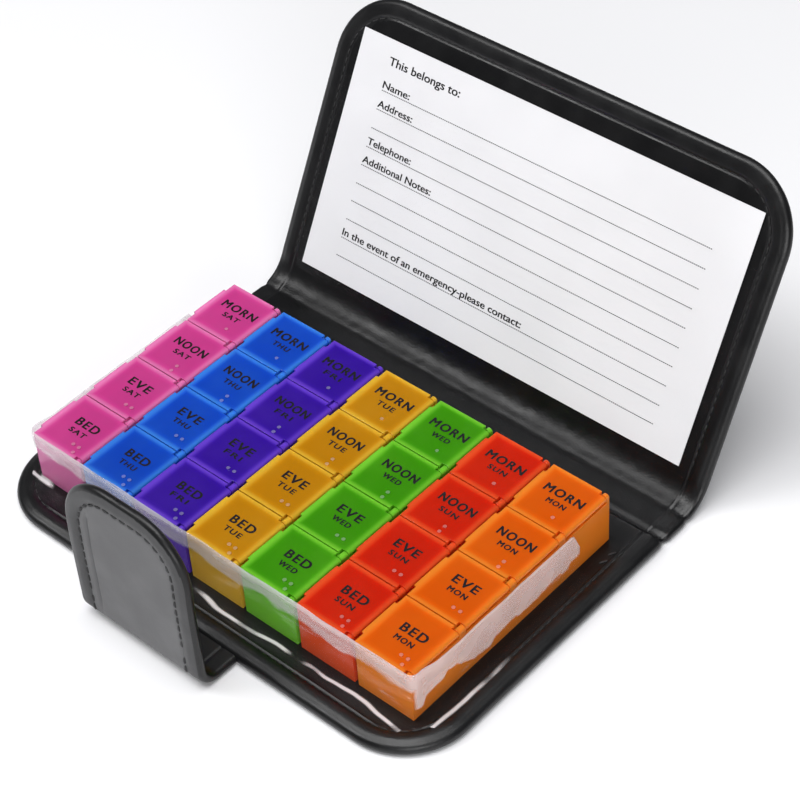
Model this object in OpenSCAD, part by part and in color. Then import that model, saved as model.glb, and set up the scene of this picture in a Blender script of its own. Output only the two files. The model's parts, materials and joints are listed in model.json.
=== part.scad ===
// Folding travel pill organizer: a soft wallet case with seven lift-out daily strips,
// each strip with four compartments under hinged lids.
// Millimetres. Origin: middle of the tray panel's underside. +X along the row of strips,
// +Y towards the spine, +Z up. The case is open, with the cover leaning back.

/* [Case] */
// Width of the case across the row of strips
case_w = 191.4; // [150:0.1:240]
// Depth of the tray panel, front edge to rear fold
tray_len = 113.2; // [100:0.1:140]
// Length of the cover panel from its fold to its top edge
cover_len = 114; // [100:1:140]
// Thickness of the tray and cover panels
panel_t = 4; // [3:0.1:6]
// Radius of the panels' outer corners
corner_r = 25; // [10:1:30]
// Width of the rolled edge band
band_w = 5; // [4:0.5:8]
// Thickness of the outer skin under the panels
skin_t = 1.3; // [0.8:0.1:2]
// Thickness of the stiffening board
board_t = 1.4; // [0.8:0.1:2]
// Distance between the two fold lines of the spine
spine_len = 28; // [26:0.5:40]
// Thickness of the spine
spine_t = 2.4; // [1.5:0.1:3]
// Thickness of the spine's inner stiffener
spine_board_t = 0.8; // [0.4:0.1:1.2]
// Angle of the cover above the table as drawn
cover_angle = 62; // [0:1:90]

/* [Strips] */
// Distance from one strip to the next, and from one compartment to the next
pitch = 24; // [20:0.5:30]
// Width of one strip's body
strip_w = 22.4; // [18:0.1:28]
// Length of one strip's body
strip_len = 95.6; // [80:0.1:120]
// Height of a strip with its lids shut
strip_h = 20.4; // [15:0.1:30]
// Thickness of the strip's walls and floor
wall_t = 1.2; // [0.8:0.1:2]
// Sideways place of the row of strips
row_x = -1.2; // [-6:0.1:6]
// Front-to-back place of the row of strips
row_y = 6.9; // [0:0.1:10]

/* [Lids] */
// Thickness of a lid
lid_t = 1.4; // [1:0.1:2]
// Length of a lid along the strip
lid_len = 23.5; // [18:0.1:28]
// Gap between a lid and the wall under it
lid_rest_gap = 0.1; // [0.05:0.05:0.3]
// Radius of the hinge bead on a lid
bead_r = 1.2; // [1:0.1:1.6]
// Length of the hinge bead
bead_len = 20.4; // [14:0.1:26]
// Radius of the hinge pins
pin_r = 0.6; // [0.5:0.05:0.9]
// Length of a hinge pin beyond the bead
pin_len = 1.1; // [0.8:0.1:2]
// Radial clearance of a hinge pin in its hole
pin_gap = 0.06; // [0.02:0.01:0.1]
// How far the thumb tab stands out
tab_out = 0.9; // [0.5:0.1:1.5]
// Length of the thumb tab
tab_len = 15; // [8:0.5:20]
// Thickness of the thumb tab
tab_t = 1; // [0.6:0.1:1.4]
// Depth of the rim under a lid
rim_h = 1.2; // [0.6:0.1:2]
// Thickness of the rim under a lid
rim_t = 0.8; // [0.6:0.1:1.2]
// Radius of a tactile dot
dot_r = 0.7; // [0.5:0.1:1]
// Height of a tactile dot
dot_h = 0.3; // [0.2:0.05:0.6]
// Spacing of the tactile dots
dot_gap = 2.7; // [2:0.1:3]

/* [Film holder] */
// Thickness of the clear film
film_t = 0.4; // [0.2:0.1:0.8]
// Gap between the film and the strips
film_gap = 0.6; // [0.4:0.1:1.5]
// Height of the front film above the tray
film_front_h = 21.2; // [10:0.1:24]
// Height of the side films above the tray
film_side_h = 19.2; // [10:0.1:24]
// Width of the film's sewn flange
flange_w = 7; // [4:0.5:10]
// Length of the side films from the front
film_side_len = 80; // [40:1:95]

/* [Card and pocket] */
// Width of the card
card_w = 169; // [120:1:180]
// Height of the card
card_len = 89.6; // [60:0.1:100]
// Thickness of the card
card_t = 0.25; // [0.2:0.05:0.5]
// Distance of the card's lower edge from the cover's fold
card_start = 11; // [5:0.5:20]
// Thickness of the pocket film
pocket_t = 0.3; // [0.2:0.1:0.6]
// Width of the pocket's welded border
pocket_border = 3; // [1.5:0.5:5]
// Share of the card's height that the pocket covers
pocket_share = 0.8; // [0.4:0.05:1]

/* [Strap] */
// Width of the closing strap
strap_w = 54; // [30:1:70]
// Thickness of the strap
strap_t = 2.4; // [1.5:0.1:3]
// Sideways place of the strap
strap_x = -5; // [-20:1:20]
// Length of the strap's part that lies on the table
strap_lower_len = 11.7; // [6:0.1:15]
// Length of the strap's part that stands in front
strap_front_len = 22.4; // [15:0.1:30]
// Length of the strap's rounded end part
strap_tip_len = 41.5; // [25:0.5:60]
// Radius of the strap end's corners
strap_corner_r = 20; // [8:1:20]
// Radius of the magnet in the strap
magnet_r = 6; // [4:0.5:8]
// Thickness of the magnet
magnet_t = 1.2; // [0.8:0.1:1.6]
// Distance from the strap's end to the magnet
magnet_inset = 14; // [10:1:20]

/* [Hidden] */
$fn = 48;
fold_gap = 0.3;
table_gap = 0.1;
fold_z = table_gap + spine_t / 2;
fold_offset = fold_gap + spine_t / 2;
rear_fold_y = tray_len / 2 + fold_offset;
cover_fold_y = rear_fold_y + spine_len;
lining_t = panel_t - skin_t - board_t;
inner_w = case_w - 2 * band_w;
inner_r = corner_r - band_w;
strap_half = strap_t / 2;
strap_fold_z = table_gap + strap_half;
strap_play = 0.4;
strap_fold_y = -tray_len / 2 - strap_play - strap_half;
strap_bend_y = strap_fold_y - strap_lower_len;
strap_top_z = strap_fold_z + strap_front_len;
strap_slot = 0.2;
tongue_len = 12;
magnet_z = strap_top_z + strap_tip_len - magnet_inset;
keeper_r = 7;
keeper_t = 0.8;
keeper_inset = 0.1;
disc_play = 0.05;
keeper_y = cover_fold_y + rear_fold_y - strap_fold_y - strap_tip_len + magnet_inset;
lid_z = strip_h - lid_t;
wall_h = lid_z - lid_rest_gap;
hinge_x = strip_w / 2 - bead_r;
hinge_z = strip_h - bead_r;
bead_play = 0.4;
hinge_wall_h = hinge_z - bead_r - bead_play;
lug_gap = 0.3;
lug_len = pitch - bead_len - 2 * lug_gap;
knuckle_play = 0.5;
rim_inset = 0.5;
rim_len = 20.8;
rim_hinge_gap = 0.8;
row_half_w = 3.5 * pitch;
row_half_len = strip_len / 2;
dot_x = 3.4;
dot_y = -9.8;
dot_root = 0.5;
card_play = 0.05;
pocket_side_room = 0.5;
pocket_foot_room = 0.1;
eps = 1;
strip_tints = [
  [0.87, 0.30, 0.60, 0.75], [0.10, 0.35, 0.90, 0.75], [0.30, 0.10, 0.70, 0.75],
  [0.85, 0.60, 0.05, 0.75], [0.25, 0.70, 0.10, 0.75], [0.90, 0.20, 0.05, 0.75],
  [0.98, 0.47, 0.05, 0.75]
];
leather = [0.06, 0.06, 0.065];
lining_tint = [0.09, 0.09, 0.095];
board_tint = [0.55, 0.48, 0.38];
film_tint = [0.85, 0.88, 0.92, 0.35];

// Flat outline of a panel with two rounded corners at its front end (-Y)
module panel_2d(w, l, r) {
  translate([-w / 2, -l / 2 + r]) square([w, l - r]);
  translate([-w / 2 + r, -l / 2]) square([w - 2 * r, l]);
  for (s = [-1, 1]) translate([s * (w / 2 - r), -l / 2 + r]) circle(r = r, $fn = 96);
}

// Half-round section of the rolled edge, with its outer edge at x = 0
module band_profile() {
  translate([panel_t / 2, panel_t / 2]) circle(r = panel_t / 2);
  translate([panel_t / 2, 0]) square([band_w - panel_t / 2, panel_t]);
}

module band_side(l) {
  rotate([90, 0, 0]) linear_extrude(height = l) band_profile();
}

module band_corner() {
  intersection() {
    rotate_extrude($fn = 96) translate([corner_r, 0]) mirror([1, 0]) band_profile();
    translate([-2 * corner_r, -2 * corner_r, -eps]) cube([2 * corner_r, 2 * corner_r, panel_t + 2 * eps]);
  }
}

// Rolled edge round the left side, front and right side of a panel of length l
module band_round(l) {
  for (s = [0, 1]) mirror([s, 0, 0]) {
    translate([-case_w / 2, l / 2, 0]) band_side(l - corner_r);
    translate([-case_w / 2 + corner_r, -l / 2 + corner_r, 0]) band_corner();
  }
  translate([-case_w / 2 + corner_r, -l / 2, 0])
    rotate([90, 0, 90]) linear_extrude(height = case_w - 2 * corner_r) band_profile();
}

// One flat layer of a panel inside its edge band
module panel_layer(l, z, t) {
  translate([0, band_w / 2, z]) linear_extrude(height = t) panel_2d(inner_w, l - band_w, inner_r);
}

// Room for the strap's sewn end
module strap_room() {
  translate([strap_x - strap_w / 2 - strap_slot, -tray_len / 2 - eps, -eps])
    cube([strap_w + 2 * strap_slot, band_w + eps + strap_slot, table_gap + strap_t + strap_slot + eps]);
  translate([strap_x - strap_w / 2 - strap_slot, -tray_len / 2, -eps])
    cube([strap_w + 2 * strap_slot, tongue_len + strap_slot, skin_t + eps]);
}

module tray_skin() {
  color(leather) difference() {
    panel_layer(tray_len, 0, skin_t);
    strap_room();
  }
}

module tray_board() {
  color(board_tint) difference() {
    panel_layer(tray_len, skin_t, board_t);
    strap_room();
  }
}

module tray_lining() {
  color(lining_tint) panel_layer(tray_len, skin_t + board_t, lining_t);
}

module tray_edge_band() {
  color(leather) difference() {
    band_round(tray_len);
    strap_room();
  }
}

module strap_root() {
  color(leather) {
    translate([strap_x - strap_w / 2, -tray_len / 2, table_gap]) cube([strap_w, band_w, strap_t]);
    translate([strap_x - strap_w / 2, -tray_len / 2, table_gap])
      cube([strap_w, tongue_len, skin_t - table_gap]);
  }
}

// Film wall with a flange at its foot: a wall along +X with the flange on its -Y side
module film_wall(l, h) {
  translate([0, -film_t, panel_t]) cube([l, film_t, h]);
  translate([0, -flange_w, panel_t]) cube([l, flange_w, film_t]);
}

module film_front() {
  color(film_tint)
    translate([row_x - row_half_w - film_gap - film_t, row_y - row_half_len - film_gap, 0])
      film_wall(2 * (row_half_w + film_gap + film_t), film_front_h);
}

module film_left() {
  color(film_tint)
    translate([row_x - row_half_w - film_gap, row_y - row_half_len - film_gap + film_side_len, 0])
      rotate([0, 0, -90]) film_wall(film_side_len, film_side_h);
}

module film_right() {
  color(film_tint)
    translate([row_x + row_half_w + film_gap, row_y - row_half_len - film_gap, 0])
      rotate([0, 0, 90]) film_wall(film_side_len, film_side_h);
}

// Spine plate with round ends on both fold lines, cut to the layer from z0 to z1
module spine_layer(z0, z1) {
  intersection() {
    union() {
      translate([-case_w / 2, rear_fold_y, fold_z - spine_t / 2]) cube([case_w, spine_len, spine_t]);
      for (y = [rear_fold_y, cover_fold_y])
        translate([-case_w / 2, y, fold_z]) rotate([0, 90, 0]) cylinder(r = spine_t / 2, h = case_w);
    }
    translate([-case_w, rear_fold_y - spine_t, z0]) cube([2 * case_w, spine_len + 2 * spine_t, z1 - z0]);
  }
}

module spine_skin() {
  color(leather) spine_layer(0, fold_z - spine_board_t / 2);
}

module spine_board() {
  color(board_tint) spine_layer(fold_z - spine_board_t / 2, fold_z + spine_board_t / 2);
}

module spine_lining() {
  color(lining_tint) spine_layer(fold_z + spine_board_t / 2, fold_z + spine_t);
}

// Turns a piece drawn with the cover flat open to the cover's angle
module cover_pose() {
  translate([0, cover_fold_y, fold_z]) rotate([cover_angle, 0, 0])
    translate([0, -cover_fold_y, -fold_z]) children();
}

// Puts a panel drawn about its own middle, corners at -Y, behind the cover fold, corners at +Y
module cover_panel() {
  l = cover_len - fold_offset;
  translate([0, cover_fold_y + fold_offset + l / 2, 0]) mirror([0, 1, 0]) children();
}

module keeper_disc(grow) {
  translate([strap_x, keeper_y, skin_t + keeper_inset - grow])
    cylinder(r = keeper_r + grow, h = keeper_t + 2 * grow);
}

module cover_skin() {
  color(leather) cover_pose() cover_panel() panel_layer(cover_len - fold_offset, 0, skin_t);
}

module cover_board() {
  color(board_tint) cover_pose() difference() {
    cover_panel() panel_layer(cover_len - fold_offset, skin_t, board_t);
    keeper_disc(disc_play);
  }
}

module cover_keeper() {
  color([0.7, 0.7, 0.72]) cover_pose() keeper_disc(0);
}

module cover_lining() {
  color(lining_tint) cover_pose() cover_panel()
    panel_layer(cover_len - fold_offset, skin_t + board_t, lining_t);
}

module cover_edge_band() {
  color(leather) cover_pose() cover_panel() band_round(cover_len - fold_offset);
}

module info_card() {
  color([0.97, 0.97, 0.97]) cover_pose()
    translate([-card_w / 2, cover_fold_y + card_start, panel_t + card_play]) cube([card_w, card_len, card_t]);
}

module card_pocket() {
  gap = 2 * card_play + card_t;
  side = card_w / 2 + pocket_border + pocket_side_room;
  y0 = cover_fold_y + card_start - pocket_border - pocket_foot_room;
  l = card_len * pocket_share + pocket_border;
  color(film_tint) cover_pose() difference() {
    translate([-side, y0, panel_t]) cube([2 * side, l, gap + pocket_t]);
    translate([-side + pocket_border, y0 + pocket_border, panel_t - eps])
      cube([2 * (side - pocket_border), l, gap + eps]);
  }
}

// Plain length of the strap, standing on its fold line
module strap_plate(l) {
  translate([strap_x - strap_w / 2, -strap_half, 0]) cube([strap_w, strap_t, l]);
}

module strap_roll() {
  translate([strap_x - strap_w / 2, 0, 0]) rotate([0, 90, 0]) cylinder(r = strap_half, h = strap_w);
}

module strap_lower() {
  color(leather) {
    translate([0, strap_fold_y, strap_fold_z]) rotate([90, 0, 0]) strap_plate(strap_lower_len);
    translate([0, strap_fold_y, strap_fold_z]) strap_roll();
    translate([0, strap_bend_y, strap_fold_z]) strap_roll();
  }
}

module strap_front() {
  color(leather) {
    translate([0, strap_bend_y, strap_fold_z + fold_offset]) strap_plate(strap_front_len - fold_offset);
    translate([0, strap_bend_y, strap_top_z]) strap_roll();
  }
}

module strap_end_2d() {
  r = strap_corner_r;
  translate([-strap_w / 2, 0]) square([strap_w, strap_tip_len - fold_offset - r]);
  translate([-strap_w / 2 + r, 0]) square([strap_w - 2 * r, strap_tip_len - fold_offset]);
  for (s = [-1, 1])
    translate([s * (strap_w / 2 - r), strap_tip_len - fold_offset - r]) circle(r = r, $fn = 96);
}

module magnet_disc(grow) {
  translate([strap_x, strap_bend_y + magnet_t / 2 + grow, magnet_z]) rotate([90, 0, 0])
    cylinder(r = magnet_r + grow, h = magnet_t + 2 * grow);
}

module strap_tip() {
  color(leather) difference() {
    translate([strap_x, strap_bend_y + strap_half, strap_top_z + fold_offset]) rotate([90, 0, 0])
      linear_extrude(height = strap_t) strap_end_2d();
    magnet_disc(disc_play);
  }
}

module strap_magnet() {
  color([0.6, 0.6, 0.62]) magnet_disc(0);
}

// Moves to strip number i, with the strip's own origin in the middle of its underside
module at_strip(i) {
  translate([row_x + (i - 3) * pitch, row_y, panel_t]) children();
}

// Hinge lug, its hole bored right through, centred at y with length l
module lug(y, l) {
  difference() {
    union() {
      translate([hinge_x, y - l / 2, hinge_z]) rotate([-90, 0, 0]) cylinder(r = bead_r, h = l);
      translate([hinge_x - bead_r, y - l / 2, hinge_wall_h - eps])
        cube([2 * bead_r, l, hinge_z - hinge_wall_h + eps]);
    }
    translate([hinge_x, y - l, hinge_z]) rotate([-90, 0, 0]) cylinder(r = pin_r + pin_gap, h = 2 * l);
  }
}

module strip(i) {
  end_lug = row_half_len - (1.5 * pitch + bead_len / 2 + lug_gap);
  hinge_edge = strip_w / 2 - 2 * bead_r;
  color(strip_tints[i]) at_strip(i) {
    difference() {
      translate([-strip_w / 2, -row_half_len, 0]) cube([strip_w, strip_len, wall_h]);
      for (c = [-1.5 : 1 : 1.5]) {
        y0 = c == -1.5 ? -row_half_len + wall_t : c * pitch - pitch / 2 + wall_t / 2;
        y1 = c == 1.5 ? row_half_len - wall_t : c * pitch + pitch / 2 - wall_t / 2;
        translate([-strip_w / 2 + wall_t, y0, wall_t]) cube([strip_w - 2 * wall_t, y1 - y0, strip_h]);
      }
      translate([hinge_edge - knuckle_play, -row_half_len - eps, hinge_wall_h])
        cube([strip_w, strip_len + 2 * eps, strip_h]);
    }
    for (c = [-1 : 1]) lug(c * pitch, lug_len);
    for (s = [-1, 1]) lug(s * (row_half_len - end_lug / 2), end_lug);
  }
}

// Lid of compartment c (0 at the front) on strip i, with dots at the places listed
module lid(i, c, dots) {
  y = (c - 1.5) * pitch;
  plate_edge = hinge_x - bead_r - knuckle_play;
  rim_x0 = -strip_w / 2 + wall_t + rim_inset;
  rim_x1 = hinge_x - bead_r - rim_hinge_gap;
  color(strip_tints[i]) at_strip(i) translate([0, y, 0]) {
    translate([-strip_w / 2, -lid_len / 2, lid_z]) cube([strip_w / 2 + plate_edge, lid_len, lid_t]);
    translate([plate_edge - eps, -bead_len / 2, lid_z]) cube([hinge_x - plate_edge + eps, bead_len, lid_t]);
    translate([hinge_x, -bead_len / 2, hinge_z]) rotate([-90, 0, 0]) cylinder(r = bead_r, h = bead_len);
    translate([hinge_x, -bead_len / 2 - pin_len, hinge_z]) rotate([-90, 0, 0])
      cylinder(r = pin_r, h = bead_len + 2 * pin_len);
    translate([-strip_w / 2 - tab_out, -tab_len / 2, strip_h - tab_t]) cube([tab_out + eps, tab_len, tab_t]);
    difference() {
      translate([rim_x0, -rim_len / 2, lid_z - rim_h]) cube([rim_x1 - rim_x0, rim_len, rim_h + lid_t / 2]);
      translate([rim_x0 + rim_t, -rim_len / 2 + rim_t, lid_z - rim_h - eps])
        cube([rim_x1 - rim_x0 - 2 * rim_t, rim_len - 2 * rim_t, rim_h + eps]);
    }
    for (d = dots) translate([dot_x + d[0] * dot_gap, dot_y + d[1] * dot_gap, strip_h - dot_root])
      cylinder(r = dot_r, h = dot_root + dot_h);
  }
}

module lid_bed(i) {
  lid(i, 0, [[0, 1], [1, 1], [1, 0]]);
}

module lid_eve(i) {
  lid(i, 1, [[0, 1], [1, 1]]);
}

module lid_noon(i) {
  lid(i, 2, [[0, 0], [0, 1]]);
}

module lid_morn(i) {
  lid(i, 3, [[0, 1]]);
}

module strip_sat() {
  strip(0);
}

module strip_thu() {
  strip(1);
}

module strip_fri() {
  strip(2);
}

module strip_tue() {
  strip(3);
}

module strip_wed() {
  strip(4);
}

module strip_sun() {
  strip(5);
}

module strip_mon() {
  strip(6);
}

module lid_sat_bed() {
  lid_bed(0);
}

module lid_sat_eve() {
  lid_eve(0);
}

module lid_sat_noon() {
  lid_noon(0);
}

module lid_sat_morn() {
  lid_morn(0);
}

module lid_thu_bed() {
  lid_bed(1);
}

module lid_thu_eve() {
  lid_eve(1);
}

module lid_thu_noon() {
  lid_noon(1);
}

module lid_thu_morn() {
  lid_morn(1);
}

module lid_fri_bed() {
  lid_bed(2);
}

module lid_fri_eve() {
  lid_eve(2);
}

module lid_fri_noon() {
  lid_noon(2);
}

module lid_fri_morn() {
  lid_morn(2);
}

module lid_tue_bed() {
  lid_bed(3);
}

module lid_tue_eve() {
  lid_eve(3);
}

module lid_tue_noon() {
  lid_noon(3);
}

module lid_tue_morn() {
  lid_morn(3);
}

module lid_wed_bed() {
  lid_bed(4);
}

module lid_wed_eve() {
  lid_eve(4);
}

module lid_wed_noon() {
  lid_noon(4);
}

module lid_wed_morn() {
  lid_morn(4);
}

module lid_sun_bed() {
  lid_bed(5);
}

module lid_sun_eve() {
  lid_eve(5);
}

module lid_sun_noon() {
  lid_noon(5);
}

module lid_sun_morn() {
  lid_morn(5);
}

module lid_mon_bed() {
  lid_bed(6);
}

module lid_mon_eve() {
  lid_eve(6);
}

module lid_mon_noon() {
  lid_noon(6);
}

module lid_mon_morn() {
  lid_morn(6);
}

tray_skin();
tray_board();
tray_lining();
tray_edge_band();
strap_root();
film_front();
film_left();
film_right();
spine_skin();
spine_board();
spine_lining();
cover_skin();
cover_board();
cover_lining();
cover_edge_band();
cover_keeper();
card_pocket();
info_card();
strap_lower();
strap_front();
strap_tip();
strap_magnet();
strip_sat();
strip_thu();
strip_fri();
strip_tue();
strip_wed();
strip_sun();
strip_mon();
lid_sat_bed();
lid_sat_eve();
lid_sat_noon();
lid_sat_morn();
lid_thu_bed();
lid_thu_eve();
lid_thu_noon();
lid_thu_morn();
lid_fri_bed();
lid_fri_eve();
lid_fri_noon();
lid_fri_morn();
lid_tue_bed();
lid_tue_eve();
lid_tue_noon();
lid_tue_morn();
lid_wed_bed();
lid_wed_eve();
lid_wed_noon();
lid_wed_morn();
lid_sun_bed();
lid_sun_eve();
lid_sun_noon();
lid_sun_morn();
lid_mon_bed();
lid_mon_eve();
lid_mon_noon();
lid_mon_morn();
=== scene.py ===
import json
import math
import bmesh
import bpy
import numpy as np
from mathutils import Matrix, Vector, noise


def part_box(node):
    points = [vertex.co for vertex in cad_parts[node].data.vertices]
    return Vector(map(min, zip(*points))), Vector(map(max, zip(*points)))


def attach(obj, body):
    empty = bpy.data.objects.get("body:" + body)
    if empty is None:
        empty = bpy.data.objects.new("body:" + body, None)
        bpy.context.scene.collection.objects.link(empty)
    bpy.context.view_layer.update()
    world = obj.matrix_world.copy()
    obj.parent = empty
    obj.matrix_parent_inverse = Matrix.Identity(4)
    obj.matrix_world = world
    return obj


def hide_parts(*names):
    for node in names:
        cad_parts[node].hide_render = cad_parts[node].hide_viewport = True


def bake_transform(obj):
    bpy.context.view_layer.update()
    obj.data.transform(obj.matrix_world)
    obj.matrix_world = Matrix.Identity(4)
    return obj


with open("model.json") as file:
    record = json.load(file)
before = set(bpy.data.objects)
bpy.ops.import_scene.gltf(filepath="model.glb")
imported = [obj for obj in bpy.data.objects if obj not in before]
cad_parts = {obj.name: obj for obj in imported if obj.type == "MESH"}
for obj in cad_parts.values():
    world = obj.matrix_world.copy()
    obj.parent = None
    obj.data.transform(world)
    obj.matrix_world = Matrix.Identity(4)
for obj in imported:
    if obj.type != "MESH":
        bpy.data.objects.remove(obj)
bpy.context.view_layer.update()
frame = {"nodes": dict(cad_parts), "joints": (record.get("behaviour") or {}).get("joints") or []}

MM = 0.001
DAYS = ["sat", "thu", "fri", "tue", "wed", "sun", "mon"]
TIMES = ["bed", "eve", "noon", "morn"]
JOINTS = {j["name"]: j for j in frame["joints"]}
SCENE = bpy.context.scene


def box_mm(node):
    lo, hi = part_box(node)
    return np.array(lo) / MM, np.array(hi) / MM


# ---- sizes taken from the frame, in millimetres ----
TRAY_LO, TRAY_HI = box_mm("tray_edge_band")
BAND_HI = box_mm("cover_edge_band")[1]
FOLD_1 = np.array(JOINTS["spine_fold"]["pos_m"]) / MM
FOLD_2 = np.array(JOINTS["cover_fold"]["pos_m"]) / MM
TILT = math.radians(JOINTS["cover_fold"]["range_deg"][1])
SIN_T, COS_T = math.sin(TILT), math.cos(TILT)
HALF_W = TRAY_HI[0]
PANEL_T = TRAY_HI[2] - TRAY_LO[2]
BASE_Z = FOLD_1[2]
TOP_OFF = PANEL_T - BASE_Z
LOW_OFF = -BASE_Z
FRONT_V = TRAY_LO[1]
EDGE_R = PANEL_T / 2
CORNER_R = 25.0
COVER_LEN = EDGE_R + (BAND_HI[2] - EDGE_R - BASE_Z - (EDGE_R - BASE_Z) * COS_T) / SIN_T
BACK_V = FOLD_2[1] + COVER_LEN
SPINE_MID = (FOLD_1[1] + FOLD_2[1]) / 2
BEND_HALF = 10.0
STITCH_IN = 6.6
BAND_IN = 7.6
LID_TOP = box_mm("strip_mon")[1][2]
ROW_BOX = (box_mm("strip_sat")[0], box_mm("strip_mon")[1])
PITCH = (box_mm("strip_mon")[0][0] - box_mm("strip_sat")[0][0]) / 6
FILM_FRONT = box_mm("film_front")[1][1]
FILM_RIGHT = box_mm("film_right")[0][0]
FOOT_Z = PANEL_T + 1.5
NO_END = 999.0


# ---- small helpers ----
def smooth(a, b, x):
    t = np.clip((x - a) / (b - a), 0, 1)
    return t * t * (3 - 2 * t)


def bell(x, mid, width):
    return np.exp(-(((x - mid) / width) ** 2))


def wander(p, scale, seed=0.0):
    """Smooth noise from about -1 to 1 at a point in millimetres."""
    return noise.noise(Vector((p[0] / scale + seed, p[1] / scale, p[2] / scale)))


def make_object(name, verts, faces, materials, body=None, angle=40, indices=None):
    """Mesh object from points in millimetres, shaded smooth except at sharp edges."""
    mesh = bpy.data.meshes.new(name)
    mesh.from_pydata([tuple(v) for v in np.asarray(verts, float) * MM], [], faces)
    if indices is not None:
        mesh.polygons.foreach_set("material_index", indices)
    bm = bmesh.new()
    bm.from_mesh(mesh)
    bmesh.ops.remove_doubles(bm, verts=bm.verts, dist=2e-6)
    bmesh.ops.recalc_face_normals(bm, faces=bm.faces)
    bm.to_mesh(mesh)
    bm.free()
    mesh.polygons.foreach_set("use_smooth", [True] * len(mesh.polygons))
    mesh.set_sharp_from_angle(angle=math.radians(angle))
    for material in materials:
        mesh.materials.append(material)
    obj = bpy.data.objects.new(name, mesh)
    SCENE.collection.objects.link(obj)
    if body:
        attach(obj, body)
    return obj


def grid_faces(rows, cols, start=0, flip=False):
    faces = []
    for i in range(rows - 1):
        for j in range(cols - 1):
            a = start + i * cols + j
            quad = (a, a + 1, a + cols + 1, a + cols)
            faces.append(quad[::-1] if flip else quad)
    return faces


# ---- materials ----
class Nodes:
    """Short way to write a node material."""

    def __init__(self, name):
        self.material = bpy.data.materials.new(name)
        self.material.use_nodes = True
        self.tree = self.material.node_tree
        self.tree.nodes.clear()
        self.out = self.tree.nodes.new("ShaderNodeOutputMaterial")
        self.coord = self.tree.nodes.new("ShaderNodeTexCoord").outputs["Object"]

    def put(self, socket, value):
        if isinstance(value, bpy.types.NodeSocket):
            self.tree.links.new(value, socket)
        elif value is not None:
            socket.default_value = value

    def add(self, kind, inputs=None, **settings):
        node = self.tree.nodes.new(kind)
        for key, value in settings.items():
            setattr(node, key, value)
        for key, value in (inputs or {}).items():
            self.put(node.inputs[key], value)
        return node

    def scaled(self, scale):
        return self.add("ShaderNodeMapping", {"Vector": self.coord, "Scale": scale}).outputs[0]

    def noise(self, scale, detail=3.0, rough=0.5, vector=None):
        inputs = {"Vector": vector or self.coord, "Scale": scale, "Detail": detail, "Roughness": rough}
        return self.add("ShaderNodeTexNoise", inputs).outputs["Fac"]

    def cells(self, scale):
        inputs = {"Vector": self.coord, "Scale": scale}
        return self.add("ShaderNodeTexVoronoi", inputs, feature="SMOOTH_F1").outputs["Distance"]

    def math(self, op, a, b=None):
        node = self.add("ShaderNodeMath", operation=op)
        for k, value in enumerate((a, b)):
            self.put(node.inputs[k], value)
        return node.outputs[0]

    def span(self, value, a, b, low, high):
        """low below a, high above b, and a smooth step between them."""
        inputs = {"Value": value, "From Min": a, "From Max": b, "To Min": low, "To Max": high}
        return self.add("ShaderNodeMapRange", inputs, interpolation_type="SMOOTHSTEP").outputs[0]

    def mix(self, factor, a, b):
        node = self.add("ShaderNodeMix", data_type="RGBA")
        self.put(node.inputs["Factor"], factor)
        self.put(node.inputs[6], a)
        self.put(node.inputs[7], b)
        return node.outputs[2]

    def bump(self, height, strength, distance, normal=None):
        inputs = {"Height": height, "Strength": strength, "Distance": distance}
        if normal:
            inputs["Normal"] = normal
        return self.add("ShaderNodeBump", inputs).outputs[0]

    def principled(self, **inputs):
        keys = {k.replace("_", " "): v for k, v in inputs.items()}
        node = self.add("ShaderNodeBsdfPrincipled", keys)
        self.tree.links.new(node.outputs[0], self.out.inputs["Surface"])
        return self.material


def rgb(r, g, b):
    """Colour from 0-255 display values."""
    def one(c):
        c /= 255
        return c / 12.92 if c <= 0.04045 else ((c + 0.055) / 1.055) ** 2.4
    return (one(r), one(g), one(b), 1.0)


def leather(name, dark, light, grain, rough, depth, shine=0.5):
    n = Nodes(name)
    pores = n.cells(grain)
    folds = n.noise(260.0, 5.0, 0.62)
    cloud = n.noise(28.0, 3.0)
    tone = n.mix(n.span(cloud, 0.3, 0.7, 0.0, 1.0), dark, light)
    bump = n.bump(pores, 0.35, depth)
    bump = n.bump(folds, 0.30, depth * 2.5, bump)
    gloss = n.span(n.noise(90.0, 4.0), 0.3, 0.7, rough - 0.06, rough + 0.07)
    return n.principled(
        Base_Color=tone, Roughness=gloss, Normal=bump, Specular_IOR_Level=shine)


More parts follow.
